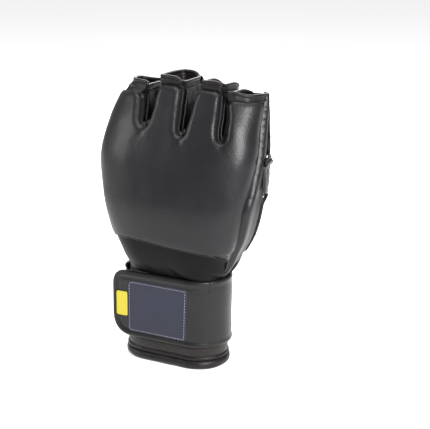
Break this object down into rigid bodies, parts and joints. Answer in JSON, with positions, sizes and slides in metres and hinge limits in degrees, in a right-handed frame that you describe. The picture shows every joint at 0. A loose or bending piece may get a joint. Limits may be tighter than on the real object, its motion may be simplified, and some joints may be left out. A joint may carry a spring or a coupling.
{
  "type": "fingerless grappling glove",
  "caption": "Left-hand fingerless padded grappling glove: curved knuckle pad, four open finger tubes, open palm, thumb hole and a wrap-round wrist strap on a short cuff.",
  "frame": {"origin": "middle of the wrist opening, on the floor plane that the cuff's hem rests on", "axes": "+Z from the cuff to the fingers, -Y the padded back of the hand, +Y the palm, +X the thumb side"},
  "size_m": [0.124, 0.0705, 0.2015],
  "materials": {
    "glove_leather": "fine-grained black leather, satin",
    "smooth_leather": "smooth black leather, satin",
    "soft_leather": "soft brown-black leather, matt",
    "strap_leather": "black coated webbing, satin",
    "binding": "folded leather edge, satin",
    "lining_fabric": "yellow brushed lining",
    "pad_foam": "closed-cell foam",
    "elastic_band": "ribbed elastic",
    "loop_pile": "loop pile",
    "hook_pile": "hook pile",
    "label_patch": "plain slate patch, satin",
    "size_tag": "plain yellow woven tag"
  },
  "bodies": {
    "cuff": {"cuff_shell": "glove_leather", "cuff_lining": "lining_fabric", "cuff_hem": "binding", "cuff_band": "elastic_band", "cuff_loop_patch": "loop_pile", "strap_root": "strap_leather", "wrist_crease": "soft_leather"},
    "strap_wrap": {"strap_side": "strap_leather"},
    "strap_end": {"strap_flap": "strap_leather", "strap_binding": "binding", "strap_label": "label_patch", "strap_tag": "size_tag", "strap_hook_patch": "hook_pile"},
    "hand": {"back_cover": "glove_leather", "wrist_panel": "smooth_leather", "back_pad": "pad_foam", "back_lining": "lining_fabric", "thumb_side_strip": "glove_leather", "little_side_strip": "glove_leather", "palm_finger_panel": "glove_leather", "thumb_band": "glove_leather", "palm_heel_panel": "glove_leather", "palm_opening_binding": "binding", "thumb_hole_binding": "binding", "pinky_crease": "soft_leather", "ring_crease": "soft_leather", "middle_crease": "soft_leather", "index_crease": "soft_leather"},
    "pinky_finger": {"pinky_cover": "glove_leather", "pinky_pad": "pad_foam", "pinky_loop": "soft_leather", "pinky_rim": "soft_leather"},
    "ring_finger": {"ring_cover": "glove_leather", "ring_pad": "pad_foam", "ring_loop": "soft_leather", "ring_rim": "soft_leather"},
    "middle_finger": {"middle_cover": "glove_leather", "middle_pad": "pad_foam", "middle_loop": "soft_leather", "middle_rim": "soft_leather"},
    "index_finger": {"index_cover": "glove_leather", "index_pad": "pad_foam", "index_loop": "soft_leather", "index_rim": "soft_leather"}
  },
  "joints": [
    {"name": "wrist_flex", "type": "hinge", "parent": "cuff", "child": "hand", "pos_m": [0, 0, 0.07], "axis": [1, 0, 0], "range_deg": [-20, 20], "stiffness_Nm_per_rad": 1.5, "deforming": ["wrist_crease"]},
    {"name": "strap_unwrap", "type": "hinge", "parent": "cuff", "child": "strap_wrap", "pos_m": [0.03369, 0.01669, 0.042], "axis": [0, 0, 1], "range_deg": [0, 80]},
    {"name": "strap_lift", "type": "hinge", "parent": "strap_wrap", "child": "strap_end", "pos_m": [0.03369, -0.01669, 0.042], "axis": [0, 0, 1], "range_deg": [0, 120]},
    {"name": "pinky_flex", "type": "hinge", "parent": "hand", "child": "pinky_finger", "pos_m": [-0.04, 0.011, 0.167], "axis": [-1, 0, 0], "range_deg": [0, 28], "stiffness_Nm_per_rad": 0.12, "deforming": ["pinky_crease"]},
    {"name": "ring_flex", "type": "hinge", "parent": "hand", "child": "ring_finger", "pos_m": [-0.006, 0.011, 0.167], "axis": [-1, 0, 0], "range_deg": [0, 28], "stiffness_Nm_per_rad": 0.12, "deforming": ["ring_crease"]},
    {"name": "middle_flex", "type": "hinge", "parent": "hand", "child": "middle_finger", "pos_m": [0.024, 0.011, 0.167], "axis": [-1, 0, 0], "range_deg": [0, 28], "stiffness_Nm_per_rad": 0.12, "deforming": ["middle_crease"]},
    {"name": "index_flex", "type": "hinge", "parent": "hand", "child": "index_finger", "pos_m": [0.048, 0.011, 0.167], "axis": [-1, 0, 0], "range_deg": [0, 28], "stiffness_Nm_per_rad": 0.12, "deforming": ["index_crease"]}
  ]
}
